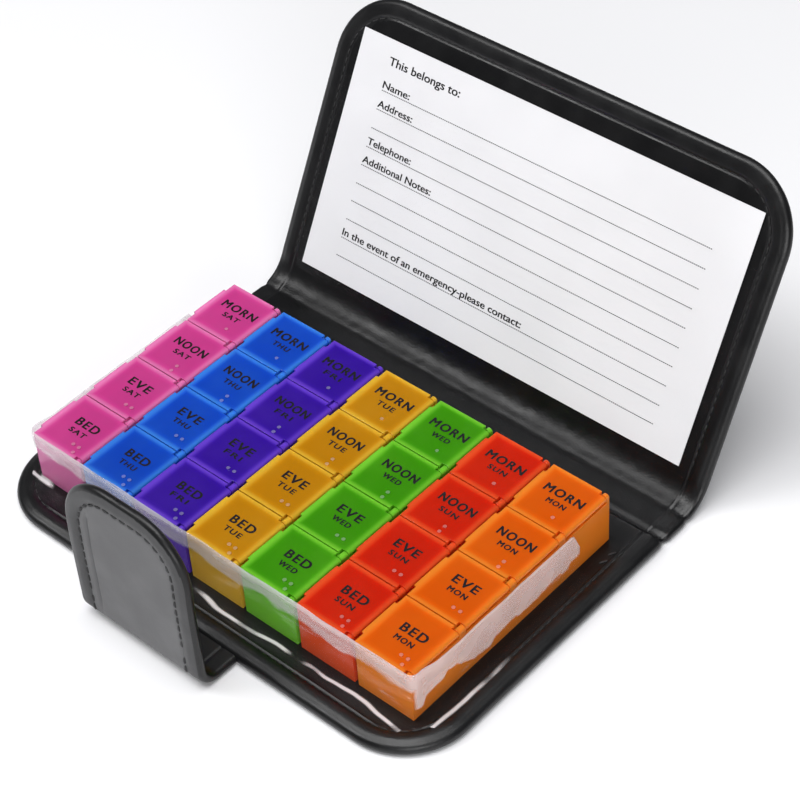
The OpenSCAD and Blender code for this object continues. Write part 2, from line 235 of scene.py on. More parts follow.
def plastic(name, deep, bright, shade):
    """Tinted see-through plastic, with painted light making it paler over the walls and edges of each
    compartment and painted shade darkening each compartment's middle.

    across and along run from 0 at a compartment's middle to 0.5 at its edge."""
    n = Nodes(name)
    mid = np.array(box_mm("strip_sat")).mean(0)
    place = n.add("ShaderNodeSeparateXYZ", {"Vector": n.coord})
    across = n.math("DIVIDE", n.math("SUBTRACT", place.outputs["X"], mid[0] * MM), PITCH * MM)
    along = n.math("DIVIDE", n.math("SUBTRACT", place.outputs["Y"], mid[1] * MM), PITCH * MM)
    across = n.math("ABSOLUTE", n.math("SUBTRACT", n.math("FRACT", n.math("ADD", across, 20.5)), 0.5))
    along = n.math("ABSOLUTE", n.math("SUBTRACT", n.math("FRACT", n.math("ADD", along, 20.0)), 0.5))
    # Painted light: rim is the band over each compartment's walls and edges, painted paler towards the
    # bright tint.
    rim = n.math("MAXIMUM", n.span(across, 0.36, 0.47, 0.0, 1.0), n.span(along, 0.40, 0.485, 0.0, 1.0))
    cloud = n.noise(55.0, 2.0)
    light = n.math("ADD", n.math("MULTIPLY", rim, 0.85), n.span(cloud, 0.3, 0.8, 0.0, 0.15))
    colour = n.mix(light, deep, bright)
    # Painted shade: the middle of each compartment is darkened towards the shade colour.
    painted_well_shade = n.math("MULTIPLY", n.span(across, 0.30, 0.42, 1.0, 0.0), n.span(along, 0.34, 0.44, 1.0, 0.0))
    colour = n.mix(n.math("MULTIPLY", painted_well_shade, 0.24), colour, shade)
    # Painted highlight: the tops of the raised dots are painted pale.
    painted_dot_highlight = n.span(place.outputs["Z"], (LID_TOP + 0.26) * MM, (LID_TOP + 0.3) * MM, 0.0, 0.2)
    colour = n.mix(painted_dot_highlight, colour, (1.0, 0.97, 0.9, 1.0))
    gloss = n.span(n.noise(120.0, 3.0), 0.3, 0.7, 0.13, 0.24)
    bump = n.bump(n.noise(140.0, 2.0), 0.15, 0.0004)
    return n.principled(
        Base_Color=colour, Roughness=gloss, Normal=bump, IOR=1.4, Transmission_Weight=0.5,
        Specular_IOR_Level=0.35)


def clear_film(name, high, edge):
    """Clear film: nearly invisible, with painted white glints along its top, its foot and the right side.

    high is the strength of the painted glints and edge the strength of the painted reflection where the film
    is seen edge on."""
    n = Nodes(name)
    place = n.add("ShaderNodeSeparateXYZ", {"Vector": n.coord})
    x, y, height = (place.outputs[axis] for axis in "XYZ")
    streaks = n.noise(34.0, 4.0, 0.62, n.scaled((1.0, 1.0, 2.2)))
    jagged = n.noise(42.0, 3.0, 0.6, n.scaled((1.0, 1.0, 0.6)))
    wisps = n.noise(70.0, 4.0, 0.6, n.scaled((0.35, 0.35, 3.0)))

    # Painted glints: white laid into the film over the upper right side, a ragged band along the top, wisps
    # low on the front and a line along the foot.
    ragged = n.math("ADD", height, n.math("MULTIPLY", n.math("SUBTRACT", jagged, 0.5), 0.026))
    side = n.span(x, 0.0825, 0.0835, 0.0, 1.0)
    side = n.math("MULTIPLY", side, n.span(ragged, 0.0112, 0.0122, 0.0, 0.75))

    level = n.math("ADD", height, n.math("MULTIPLY", n.math("SUBTRACT", streaks, 0.5), 0.012))
    band = n.math("MULTIPLY", n.span(level, 0.0172, 0.0192, 0.0, 0.75), n.span(wisps, 0.3, 0.6, 0.6, 1.0))

    low_side = n.math("MULTIPLY", n.span(wisps, 0.56, 0.62, 0.0, 0.5), n.span(x, 0.02, 0.06, 0.0, 1.0))
    low_side = n.math("MULTIPLY", low_side, n.span(level, 0.009, 0.012, 0.0, 1.0))

    ahead = n.math("SUBTRACT", FILM_FRONT * MM, y)
    out = n.math("MAXIMUM", ahead, n.math("SUBTRACT", x, FILM_RIGHT * MM))
    drift = n.span(n.noise(16.0, 3.0, 0.6), 0.3, 0.7, 0.0002, 0.0058)
    line = n.math("ABSOLUTE", n.math("SUBTRACT", out, drift))
    flange = n.span(height, FOOT_Z * MM, (FOOT_Z + 0.7) * MM, 1.0, 0.0)
    foot = n.math("MULTIPLY", n.span(line, 0.0002, 0.0011, 1.1, 0.0), flange)
    foot = n.math("MULTIPLY", foot, n.span(n.noise(45.0, 2.0), 0.42, 0.55, 0.0, 1.0))
    foot = n.math("MULTIPLY", foot, n.span(y, -0.015, -0.003, 1.0, 0.0))

    cover = n.math("MAXIMUM", n.math("MAXIMUM", band, side), n.math("MAXIMUM", low_side, foot))
    # Painted reflection: white added where the film is seen edge on.
    rim = n.add("ShaderNodeLayerWeight", {"Blend": 0.25}).outputs["Facing"]
    cover = n.math("ADD", n.math("MULTIPLY", cover, high), n.math("MULTIPLY", rim, edge))
    bump = n.bump(streaks, 0.12, 0.0006)
    return n.principled(
        Base_Color=rgb(250, 246, 247), Roughness=0.2, Alpha=n.math("MINIMUM", cover, 0.9), Normal=bump,
        Specular_IOR_Level=0.7, Coat_Weight=0.4)


def paper(name):
    n = Nodes(name)
    fibre = n.noise(900.0, 5.0, 0.6)
    tone = n.mix(n.span(n.noise(20.0, 2.0), 0.3, 0.7, 0.0, 1.0), rgb(214, 214, 216), rgb(221, 221, 223))
    return n.principled(Base_Color=tone, Roughness=0.6, Normal=n.bump(fibre, 0.15, 0.00003))


def ink(name, colour):
    n = Nodes(name)
    tone = n.mix(n.noise(700.0, 4.0), colour, rgb(22, 20, 21))
    return n.principled(Base_Color=tone, Roughness=0.6, Specular_IOR_Level=0.2)


def steel(name):
    n = Nodes(name)
    brushed = n.noise(400.0, 4.0, 0.6, n.scaled((1.0, 14.0, 1.0)))
    tone = n.mix(brushed, rgb(150, 151, 154), rgb(192, 193, 196))
    return n.principled(
        Base_Color=tone, Metallic=1.0, Roughness=n.span(brushed, 0.3, 0.7, 0.25, 0.4),
        Normal=n.bump(brushed, 0.2, 0.00002))


def floor_material(name):
    n = Nodes(name)
    tone = n.mix(n.noise(3.0, 2.0), (0.80, 0.80, 0.815, 1.0), (0.815, 0.815, 0.825, 1.0))
    return n.principled(Base_Color=tone, Roughness=0.7, Specular_IOR_Level=0.2)


# Each day's deep tint, and the paler tint used mainly for the painted light over the compartment edges.
TINTS = {
    "sat": (rgb(236, 76, 168), rgb(250, 146, 206)),
    "thu": (rgb(16, 84, 222), rgb(70, 155, 252)),
    "fri": (rgb(62, 16, 180), rgb(125, 78, 232)),
    "tue": (rgb(222, 152, 4), rgb(248, 204, 60)),
    "wed": (rgb(72, 172, 4), rgb(140, 228, 60)),
    "sun": (rgb(236, 38, 4), rgb(252, 98, 44)),
    "mon": (rgb(252, 108, 0), rgb(255, 156, 48)),
}
LEATHER = leather("black_leather", rgb(9, 9, 10), rgb(14, 14, 15), 1500.0, 0.36, 0.00010, 0.4)
LINING = leather("dark_lining", rgb(8, 8, 9), rgb(12, 12, 13), 1500.0, 0.36, 0.00009, 0.28)
# Painted sheen: the strap is black leather, painted mid-grey over its outer face and darker grey over that
# face's border to stand in for the light's sheen.
STRAP_FACE_SHEEN = leather("strap_leather", rgb(93, 93, 94), rgb(98, 98, 99), 1900.0, 0.55, 0.0001, 0.4)
STRAP_BAND_SHEEN = leather("strap_band_painted_sheen", rgb(58, 58, 59), rgb(64, 64, 65), 1900.0, 0.5, 0.0001, 0.4)
THREAD = leather("black_thread", rgb(18, 18, 18), rgb(40, 40, 41), 5000.0, 0.55, 0.00004)
PLASTIC = {}
for tint_day, (deep, bright) in TINTS.items():
    # The darker colour of the painted shade in each compartment's middle.
    shade = tuple(0.45 * c for c in deep[:3]) + (1.0,)
    PLASTIC[tint_day] = plastic("plastic_" + tint_day, deep, bright, shade)
FILM = clear_film("holder_film", 0.42, 0.014)
POCKET = clear_film("pocket_film", 0.0, 0.01)
PAPER = paper("card_paper")
INK = ink("label_ink", rgb(8, 6, 8))
PRINT = ink("card_print", rgb(20, 20, 22))
STEEL = steel("magnet_steel")


# ---- a flat panel with rounded ends, carried along a path ----
EDGE_STEPS = [0, 0.1, 0.25, 0.45, 0.7, 1.0, 1.35, 1.7, 2.0, 2.3, 2.6, 3.0, 3.5, 4.2, 5.0, 5.6,
              6.0, 6.3, 6.6, 6.9, 7.2, 7.4, 7.6, 7.8, 8.1, 9.0]


def end_distance(x, q, half, r):
    """Distance in from the outline, with q from the rounded end. q is NO_END away from the end."""
    e = half - abs(x)
    if q < r and e < r:
        return r - math.hypot(r - q, r - e)
    return min(q, e)


def row_half(q, half, r):
    if q >= r:
        return half
    return half - r + math.sqrt(max(0.0, r * r - (r - q) ** 2))


def columns(half, count):
    """Places across a row: close together at the edges, even in the middle."""
    edge = [half - d for d in EDGE_STEPS]
    inner = list(np.linspace(edge[-1], 0, count))[1:]
    right = edge + inner
    return [-x for x in right[:-1]] + right[::-1]


def slab(name, rows, half, r, count, place, materials, mid_x=0.0):
    """Closed slab. rows are (path length, distance q from the rounded end).

    place gives the two surface points and the top face's material index."""
    tops, lows, marks = [], [], []
    for s, q in rows:
        for x in columns(row_half(q, half, r), count):
            d = end_distance(x, q, half, r)
            top, low, mark = place(x, s, d)
            tops.append((top[0] + mid_x, top[1], top[2]))
            lows.append((low[0] + mid_x, low[1], low[2]))
            marks.append(mark)
    cols, n = len(columns(half, count)), len(rows)
    total = n * cols
    faces = grid_faces(n, cols) + grid_faces(n, cols, total, True)
    index = [marks[f[0]] for f in faces[:len(faces) // 2]] + [0] * (len(faces) // 2)
    for line in (0, n - 1):
        for j in range(cols - 1):
            a = line * cols + j
            faces.append((a, a + 1, total + a + 1, total + a))
            index.append(0)
    return make_object(name, tops + lows, faces, materials, indices=index)


# ---- folding case ----
def case_path(v):
    """Point (y, z) and slope angle of the case's base line at flat distance v."""
    start = FOLD_2[1] - BEND_HALF
    if v <= start:
        return v, BASE_Z, 0.0
    if v < FOLD_2[1] + BEND_HALF:
        radius = BEND_HALF / math.tan(TILT / 2)
        phi = TILT * (v - start) / (2 * BEND_HALF)
        return start + radius * math.sin(phi), BASE_Z + radius * (1 - math.cos(phi)), phi
    s = v - FOLD_2[1]
    return FOLD_2[1] + s * COS_T, BASE_Z + s * SIN_T, TILT


CREASE_A = FOLD_1[1] + 8.5
CREASE_B = FOLD_2[1] - 7.0


def spine_share(v):
    return smooth(CREASE_A - 2.5, CREASE_A, v) * (1 - smooth(CREASE_B + 3.5, CREASE_B + 18.5, v))


def case_top(v):
    """Height of the inner surface above the base line."""
    dip = 0.9 * bell(v, CREASE_A, 1.7) + 0.35 * bell(v, CREASE_B, 1.6)
    return TOP_OFF - 1.1 * spine_share(v) - dip


def edge_relief(d, x, v):
    """Raised stitched border of the inner face, and its grooves."""
    on_panel = 1 - 0.75 * spine_share(v)
    band = 0.34 * smooth(1.6, 3.4, d) * (1 - smooth(BAND_IN - 0.3, BAND_IN + 0.3, d))
    crown = 0.3 * bell(d, 4.0, 2.2)
    grooves = -0.42 * bell(d, STITCH_IN, 0.6)
    slot = smooth(BACK_V - 16, BACK_V - 10, v) * (1 - smooth(CARD_HI[0] + 0.5, CARD_HI[0] + 4, abs(x)))
    return ((band + crown) * (1 - 0.7 * slot) + grooves) * on_panel


def case_noise(x, v, d):
    """Softness of the lining, crinkles on the spine's bend and dents beside the first crease."""
    calm = smooth(1.0, 9.0, d)
    bend = smooth(CREASE_A + 6, CREASE_B + 3.5, v) * (1 - smooth(CREASE_B + 16, CREASE_B + 28, v))
    p = (x, v, 0.0)
    soft = 0.10 * wander(p, 22.0) + 0.045 * wander(p, 6.0, 9.0)
    crinkle = 0.15 * wander((x, v * 0.28, 0.0), 1.5, 4.0) + 0.07 * wander((x, v * 0.4, 0.0), 4.2, 2.0)
    near_crease = smooth(CREASE_A - 14, CREASE_A - 2, v) * (1 - smooth(CREASE_A, CREASE_A + 10, v))
    dents = 0.12 * near_crease * wander(p, 3.5, 7.0)
    return calm * (soft * 0.45 + dents) + bend * crinkle * (0.35 + 0.65 * calm)


def strip_seat(x, v):
    """How far the lining is pressed down under the strips."""
    lo, hi = ROW_BOX
    across = smooth(lo[0] - 1.5, lo[0], x) * (1 - smooth(hi[0], hi[0] + 1.5, x))
    return 0.22 * across * smooth(lo[1] - 1.5, lo[1], v) * (1 - smooth(hi[1], hi[1] + 1.5, v))


def case_place(x, v, d):
    y, z, phi = case_path(v)
    notch = 0.9 * bell(v, CREASE_A, 1.5) + 0.5 * bell(v, CREASE_B, 1.5)
    if abs(x) > HALF_W - 12:
        x -= math.copysign(notch * smooth(12, 0, HALF_W - abs(x)), x)
    high = case_top(v)
    half = (high - LOW_OFF) / 2
    mid = (high + LOW_OFF) / 2
    f = math.sqrt(max(0.0, 1 - max(0.0, (half - d) / half) ** 2))
    top = mid + half * f + (edge_relief(d, x, v) + case_noise(x, v, d) - strip_seat(x, v)) * f
    low = mid - half * f
    n_y, n_z = -math.sin(phi), math.cos(phi)
    inside = 1 if d > BAND_IN else 0
    return (x, y + n_y * top, z + n_z * top), (x, y + n_y * low, z + n_z * low), inside


def end_rows(start, stop, step):
    """Rows inward from a rounded end at start, close together first."""
    sign = 1 if stop > start else -1
    q = EDGE_STEPS + list(np.arange(10.0, CORNER_R + 2, 1.25))
    q += list(np.arange(q[-1] + step, abs(stop - start) - step / 2, step))
    return [(start + sign * k, k) for k in q]


def make_case():
    turn = FOLD_1[1] - 3.0
    front = end_rows(FRONT_V, turn - 0.5, 3.0)
    front += [(v, NO_END) for v in np.linspace(turn, SPINE_MID, 34)]
    back = [(v, NO_END) for v in np.arange(SPINE_MID, 108.0, 0.6)]
    back += [(v, k) for v, k in reversed(end_rows(BACK_V, 108.5, 3.0))]
    pair = [LEATHER, LINING]
    a = slab("case_front", front, HALF_W, CORNER_R, 34, case_place, pair)
    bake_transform(a)
    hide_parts("tray_skin", "tray_board", "tray_lining", "tray_edge_band",
                "spine_skin", "spine_board", "spine_lining")
    b = slab("case_back", back, HALF_W, CORNER_R, 60, case_place, pair)
    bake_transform(b)
    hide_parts("cover_skin", "cover_board", "cover_lining", "cover_edge_band")


# ---- stitches ----
def capsule(a, b, up, radius):
    """Small stitch from a to b, sunk at both ends."""
    a, b, up = (np.array(v, float) for v in (a, b, up))
    along = (b - a) / np.linalg.norm(b - a)
    side = np.cross(along, up)
    verts, faces = [], []
    ring = 6
    stations = [(-0.02, 0.15, -0.35), (0.10, 0.75, -0.05), (0.5, 1.0, 0.1), (0.90, 0.75, -0.05),
                (1.02, 0.15, -0.35)]
    for t, size, lift in stations:
        centre = a + (b - a) * t + up * radius * lift
        for k in range(ring):
            w = 2 * math.pi * k / ring
            verts.append(centre + radius * size * (side * math.cos(w) + up * math.sin(w)))
    for i in range(len(stations) - 1):
        for k in range(ring):
            m = (k + 1) % ring
            faces.append((i * ring + k, i * ring + m, (i + 1) * ring + m, (i + 1) * ring + k))
    faces.append(tuple(range(ring)))
    faces.append(tuple(range(len(verts) - ring, len(verts)))[::-1])
    return verts, faces


def merged(parts):
    verts, faces = [], []
    for v, f in parts:
        faces += [tuple(i + len(verts) for i in face) for face in f]
        verts += [tuple(p) for p in v]
    return verts, faces


def outline_points(inset, half, r, end, far, sign, step):
    """Points along a path set in from the outline: up one side, round the end and down the other side."""
    w, rr = half - inset, r - inset
    pts = []
    q0 = r
    length = abs(far - end) - q0
    for q in np.linspace(length + q0, q0, max(2, int(length / step))):
        pts.append((-w, end + sign * q))
    for t in np.linspace(0, math.pi / 2, max(3, int(rr * math.pi / 2 / step)))[1:]:
        pts.append((-w + rr * (1 - math.cos(t)), end + sign * (inset + rr * (1 - math.sin(t)))))
    flat = 2 * (w - rr)
    for x in np.linspace(-w + rr, w - rr, max(2, int(flat / step)))[1:]:
        pts.append((x, end + sign * inset))
    return pts + [(-x, v) for x, v in reversed(pts[: -max(2, int(flat / step)) + 1])]


def stitch_run(points, place, pitch, length, radius):
    """Stitches along a list of (x, v) points, lying on the surface that place gives."""
    p = np.array(points, float)
    steps = np.r_[0, np.cumsum(np.hypot(*np.diff(p, axis=0).T))]
    parts = []
    for k in range(int(steps[-1] // pitch)):
        ends = []
        for s in (k * pitch + 0.5, k * pitch + 0.5 + length):
            ends.append((np.interp(s, steps, p[:, 0]), np.interp(s, steps, p[:, 1])))
        (pa, up), (pb, _) = place(*ends[0]), place(*ends[1])
        parts.append(capsule(pa, pb, up, radius))
    return merged(parts)


def on_case(x, v):
    d = end_distance(x, min(v - FRONT_V, BACK_V - v), HALF_W, CORNER_R)
    top = case_place(x, v, d)[0]
    phi = case_path(v)[2]
    up = (0, -math.sin(phi), math.cos(phi))
    return np.array(top) + 0.12 * np.array(up), up


def make_case_stitches():
    panels = (("tray", FRONT_V, FOLD_1[1] - 4, 1), ("cover", BACK_V, FOLD_2[1] + 12, -1))
    for body, end, far, sign in panels:
        path = outline_points(STITCH_IN, HALF_W, CORNER_R, end, far, sign, 2.0)
        run = stitch_run(path, on_case, 3.3, 2.3, 0.27)
        make_object("stitches_" + body, *run, [THREAD], body)
    tacks = []
    for x, v in ((86.0, 44.5), (86.0, 49.0), (-88.0, 44.5), (-88.0, 49.0)):
        (a, up), (b, _) = on_case(x, v), on_case(x + 1.4, v + 2.6)
        tacks.append(capsule(a, b, up, 0.35))
    make_object("tacks_tray", *merged(tacks), [THREAD], "tray")


# ---- closing strap ----
STRAP_LO, STRAP_HI = box_mm("strap_front")
TIP_TOP = box_mm("strap_tip")[1][2]
STRAP_X = (STRAP_LO[0] + STRAP_HI[0]) / 2
STRAP_HALF = (STRAP_HI[0] - STRAP_LO[0]) / 2
STRAP_Y = (STRAP_LO[1] + STRAP_HI[1]) / 2
STRAP_T = 3.2
STRAP_R = 6.0
STRAP_END_R = 20.5
STRAP_LOW_Z = STRAP_T / 2 + 0.05
STRAP_START = -FRONT_V - 2.5
STRAP_FLAT = -STRAP_START - (STRAP_Y + STRAP_R)
STRAP_ARC = STRAP_R * math.pi / 2
STRAP_LEN = STRAP_FLAT + STRAP_ARC + TIP_TOP - STRAP_LOW_Z - STRAP_R
STRAP_CUT = STRAP_FLAT + STRAP_ARC + 14.0 - STRAP_LOW_Z - STRAP_R
STRAP_STITCH_IN = 6.5
STRAP_STITCH = (3.6, 2.6, 0.55)


def strap_path(s):
    """Point (y, z) and turn angle of the strap's middle line, s along it from under the tray."""
    if s <= STRAP_FLAT:
        return -STRAP_START - s, STRAP_LOW_Z, 0.0
    if s < STRAP_FLAT + STRAP_ARC:
        t = (s - STRAP_FLAT) / STRAP_R
        return STRAP_Y + STRAP_R * (1 - math.sin(t)), STRAP_LOW_Z + STRAP_R * (1 - math.cos(t)), t
    rise = s - STRAP_FLAT - STRAP_ARC
    return STRAP_Y, STRAP_LOW_Z + STRAP_R + rise, math.pi / 2


def strap_place(x, s, d):
    """The outer face is the one that looks forward once the strap stands up."""
    y, z, t = strap_path(s)
    n_y, n_z = -math.sin(t), -math.cos(t)
    half = STRAP_T / 2
    f = math.sqrt(max(0.0, 1 - max(0.0, (half - d) / half) ** 2))
    standing = smooth(STRAP_FLAT + STRAP_ARC * 0.6, STRAP_FLAT + STRAP_ARC + 6, s)
    below_tip = 1 - smooth(STRAP_LEN - 16, STRAP_LEN - 12, s)
    seam = 0.75 * bell(x, -STRAP_HALF + 10.4, 0.55) * standing * below_tip
    relief = 0.5 * bell(d, 3.6, 1.9) - 0.45 * bell(d, STRAP_STITCH_IN, 0.6) - seam
    soft = 0.02 * wander((x, s, 0.0), 12.0, 3.0) + 0.015 * wander((x, s, 0.0), 3.0, 1.0)
    out = half * f + (relief * standing + soft) * f
    back = -half * f + (0.25 * bell(d, STRAP_STITCH_IN, 0.5) + soft * 0.5) * f
    y += standing * smooth(STRAP_LEN - 34, STRAP_LEN, s)
    # Faces 1 and 2 are the border and middle of the outer face, which take the grey painted sheen.
    face = 0
    if d > 1.3 and s > STRAP_FLAT + STRAP_ARC * 0.6:
        face = 1 if d < 6.2 else 2
    return (x, y + n_y * out, z + n_z * out), (x, y + n_y * back, z + n_z * back), face


def to_tip(s):
    """Distance from the rounded tip, for the part of the strap that is near it."""
    return STRAP_LEN - s if STRAP_LEN - s < 40 else NO_END


def strap_rows(a, b, step):
    return [(s, to_tip(s)) for s in [*np.arange(a, b - 1e-6, step), b]]


def make_strap():
    fold = -STRAP_START - STRAP_Y - 5.5
    tip_rows = [(STRAP_LEN - q, q) for q in reversed(EDGE_STEPS + [10.0, 12.0, 14.0, 16.5, 19.0, 21.5])]
    sections = [
        ("strap_a", strap_rows(0, fold, 0.8), ("tray", "strap_low"),
         (FRONT_V + 1.0, BASE_Z), (FRONT_V - 4.5, BASE_Z)),
        ("strap_b", strap_rows(fold, STRAP_CUT, 0.6), ("strap_low", "strap_mid"),
         (STRAP_Y + 3.7, BASE_Z), (STRAP_Y, 7.0)),
        ("strap_c", strap_rows(STRAP_CUT, STRAP_LEN - 23, 1.5) + tip_rows, ("strap_mid", "strap_end"),
         (STRAP_Y, 17.0), (STRAP_Y, 30.0)),
    ]
    nodes = {"strap_a": ["strap_root", "strap_lower"], "strap_b": ["strap_front"], "strap_c": ["strap_tip"]}
    skins = [LEATHER, STRAP_BAND_SHEEN, STRAP_FACE_SHEEN]
    for name, rows, (a, b), start, end in sections:
        obj = slab(name, rows, STRAP_HALF, STRAP_END_R, 46, strap_place, skins, STRAP_X)
        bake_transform(obj)
        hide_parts(*nodes[name])


def on_strap(x, s):
    d = end_distance(x, to_tip(s), STRAP_HALF, STRAP_END_R)
    p = np.array(strap_place(x, s, d)[0]) + (STRAP_X, 0, 0)
    t = strap_path(s)[2]
    up = np.array((0, -math.sin(t), -math.cos(t)))
    return p + 0.15 * up, up


def make_strap_stitches():
    low = STRAP_FLAT + STRAP_ARC * 0.75
    side = STRAP_HALF - STRAP_STITCH_IN
    lower = []
    for x in (-side, side):
        run = [(x, s) for s in np.arange(low, STRAP_CUT - 0.2, 0.5)]
        lower.append(stitch_run(run, on_strap, *STRAP_STITCH))
    obj = make_object("stitches_strap_b", *merged(lower), [THREAD])
    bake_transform(obj)
    path = outline_points(STRAP_STITCH_IN, STRAP_HALF, STRAP_END_R, STRAP_LEN, STRAP_CUT + 0.6, -1, 0.8)
    upper = stitch_run(path, on_strap, *STRAP_STITCH)
    obj = make_object("stitches_strap_c", *upper, [THREAD])
    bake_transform(obj)


# ---- strips and lids ----
def softened(node, name, width, material, body):
    """Copy of a CAD part with small rounded edges."""
    source = frame["nodes"][node]
    bm = bmesh.new()
    bm.from_mesh(source.data)
    bmesh.ops.remove_doubles(bm, verts=bm.verts, dist=1e-6)
    flat = math.radians(1.0)
    bmesh.ops.dissolve_limit(bm, angle_limit=flat, verts=bm.verts, edges=bm.edges)
    mesh = bpy.data.meshes.new(name)
    bm.to_mesh(mesh)
    bm.free()
    for p in mesh.polygons:
        p.use_smooth = True
    shaper = bpy.data.objects.new(name + "_shaper", mesh)
    SCENE.collection.objects.link(shaper)
    bevel = shaper.modifiers.new("edges", "BEVEL")
    bevel.width = width * MM
    bevel.segments = 2
    bevel.limit_method = "ANGLE"
    bevel.angle_limit = math.radians(50)
    bevel.harden_normals = False
    weighted = shaper.modifiers.new("normals", "WEIGHTED_NORMAL")
    weighted.weight = 90
    graph = bpy.context.evaluated_depsgraph_get()
    done = bpy.data.meshes.new_from_object(
        shaper.evaluated_get(graph), preserve_all_data_layers=True, depsgraph=graph)
    bpy.data.objects.remove(shaper)
    done.name = name
    done.materials.clear()
    done.materials.append(material)
    obj = bpy.data.objects.new(name, done)
    SCENE.collection.objects.link(obj)
    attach(obj, body)
    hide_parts(node)
    return obj


def make_strips():
    for day in DAYS:
        strip = softened("strip_" + day, "tub_" + day, 0.3, PLASTIC[day], "strip_" + day)
        for time in TIMES:
            key = day + "_" + time
            lid = softened("lid_" + key, "cap_" + key, 0.22, PLASTIC[day], "lid_" + key)


# ---- lettering ----
def word_points(text, spacing=1.0):
    """Flat outline mesh of a word at unit size: points and faces."""
    curve = bpy.data.curves.new("word", "FONT")
    curve.body = text
    curve.space_character = spacing
    curve.resolution_u = 4
    obj = bpy.data.objects.new("word", curve)
    SCENE.collection.objects.link(obj)
    bpy.context.view_layer.update()
    graph = bpy.context.evaluated_depsgraph_get()
    mesh = bpy.data.meshes.new_from_object(obj.evaluated_get(graph))
    points = np.array([v.co[:2] for v in mesh.vertices])
    faces = [tuple(p.vertices) for p in mesh.polygons]
    bpy.data.objects.remove(obj)
    bpy.data.meshes.remove(mesh)
    return points, faces


CAP_UNIT = word_points("H")[0][:, 1].max()


def word(text, cap, width, spacing=1.0):
    """A word with its left end at x = 0 and its baseline at y = 0, cap high and width wide."""
    points, faces = word_points(text, spacing)
    points[:, 0] -= points[:, 0].min()
    points[:, 0] *= width / points[:, 0].max()
    points[:, 1] *= cap / CAP_UNIT
    return points, faces


# Shifts of the copies that are laid over one another to make bold letters
BOLD = ((-1, -1), (-1, 1), (0, 0), (1, -1), (1, 1))


def make_labels():
    wide = {"bed": 9.8, "eve": 9.6, "noon": 14.0, "morn": 15.0}
    shift = {"bed": (0.9, 0.3), "eve": (0.4, 1.0), "noon": (0.4, 1.1), "morn": (0.3, 1.1)}
    main = {t: word(t.upper(), 3.3, wide[t], 1.22) for t in TIMES}
    small = {d: word(d.upper(), 2.0, 7.2, 1.2) for d in DAYS}
    for day in DAYS:
        lo, hi = box_mm("strip_" + day)
        x = (lo[0] + hi[0]) / 2
        for time in TIMES:
            key = day + "_" + time
            lo, hi = box_mm("lid_" + key)
            y = (lo[1] + hi[1]) / 2
            parts = []
            under = -3.4 if time == "bed" else -2.7
            words = ((main[time], *shift[time], 0.17), (small[day], 0.4, under, 0.12))
            for (pts, faces), mid, base, heavy in words:
                flat = pts - (pts[:, 0].max() / 2, 0)
                for k, (dx, dy) in enumerate(BOLD):
                    px = flat[:, 0] + x + mid + dx * heavy
                    py = flat[:, 1] + y + base + dy * heavy * 0.5
                    pz = np.full(len(flat), LID_TOP + 0.03 + 0.004 * k)
                    parts.append((np.c_[px, py, pz], faces))
            obj = make_object("label_" + key, *merged(parts), [INK], "lid_" + key)


# ---- card and pocket ----
CARD_LO, CARD_HI = box_mm("info_card")
CARD_LIFT = TOP_OFF + 0.3
CARD_T = 0.25
CARD_S0 = (CARD_LO[2] - BASE_Z - CARD_LIFT * COS_T) / SIN_T
CARD_S1 = (CARD_HI[2] - BASE_Z - (CARD_LIFT + CARD_T) * COS_T) / SIN_T
RULES = [71.4, 64.4, 57.4, 50.4, 43.5, 36.5, 29.7, 22.7, 15.6, 8.8]
TEXT_U = 14.0
FORM = [
    ("This belongs to:", 80.8, 2.9, 32.0), ("Name:", 72.3, 2.5, 12.2), ("Address:", 65.3, 2.5, 15.8),
    ("Telephone:", 51.3, 2.5, 20.0), ("Additional Notes:", 44.5, 2.5, 31.6),
    ("In the event of an emergency-please contact:", 16.6, 2.5, 82.0),
]


def on_cover(x, s, lift):
    return (x, FOLD_2[1] + s * COS_T - lift * SIN_T, BASE_Z + s * SIN_T + lift * COS_T)


def card_bow(x, t):
    """The card lies almost flat, lifting a little at its free top corners."""
    return 0.1 * t ** 3 * (x / CARD_HI[0]) ** 2


def make_card():
    nx, ns = 40, 24
    verts = []
    for lift in (CARD_LIFT + CARD_T, CARD_LIFT + 0.02):
        for t in np.linspace(0, 1, ns):
            for x in np.linspace(CARD_LO[0], CARD_HI[0], nx):
                verts.append(on_cover(x, CARD_S0 + t * (CARD_S1 - CARD_S0), lift + card_bow(x, t)))
    n = nx * ns
    faces = grid_faces(ns, nx) + grid_faces(ns, nx, n, True)
    rim = [j for j in range(nx)] + [i * nx + nx - 1 for i in range(1, ns)]
    rim += [(ns - 1) * nx + j for j in range(nx - 2, -1, -1)] + [i * nx for i in range(ns - 2, 0, -1)]
    for k, a in enumerate(rim):
        b = rim[(k + 1) % len(rim)]
        faces.append((a, b, b + n, a + n))
    card = make_object("form_card", verts, faces, [PAPER], "card")
    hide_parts("info_card")
    parts = [dotted_rules()]
    for text, base, cap, width in FORM:
        pts, f = word(text, cap, width)
        for k, (dx, dy) in enumerate(BOLD):
            left, low = TEXT_U + 0.1 * dx, base + 0.04 * dy
            parts.append(([on_card(left + p[0], low + p[1], 0.004 * k) for p in pts], f))
    make_object("form_print", *merged(parts), [PRINT], "card")


def on_card(u, w, above=0.0):
    """Point just above the card's face, u from its left edge and w from its lower edge."""
    x = CARD_LO[0] + u
    t = w / (CARD_S1 - CARD_S0)
    return on_cover(x, CARD_S0 + w, CARD_LIFT + CARD_T + 0.03 + above + card_bow(x, t))


def dotted_rules():
    verts, faces = [], []
    for w in RULES:
        for u in np.arange(TEXT_U, 155.6, 0.8):
            k = len(verts)
            for du, dw in ((0, -0.17), (0.52, -0.17), (0.52, 0.17), (0, 0.17)):
                verts.append(on_card(u + du, w + dw))
            faces.append((k, k + 1, k + 2, k + 3))
    return verts, faces


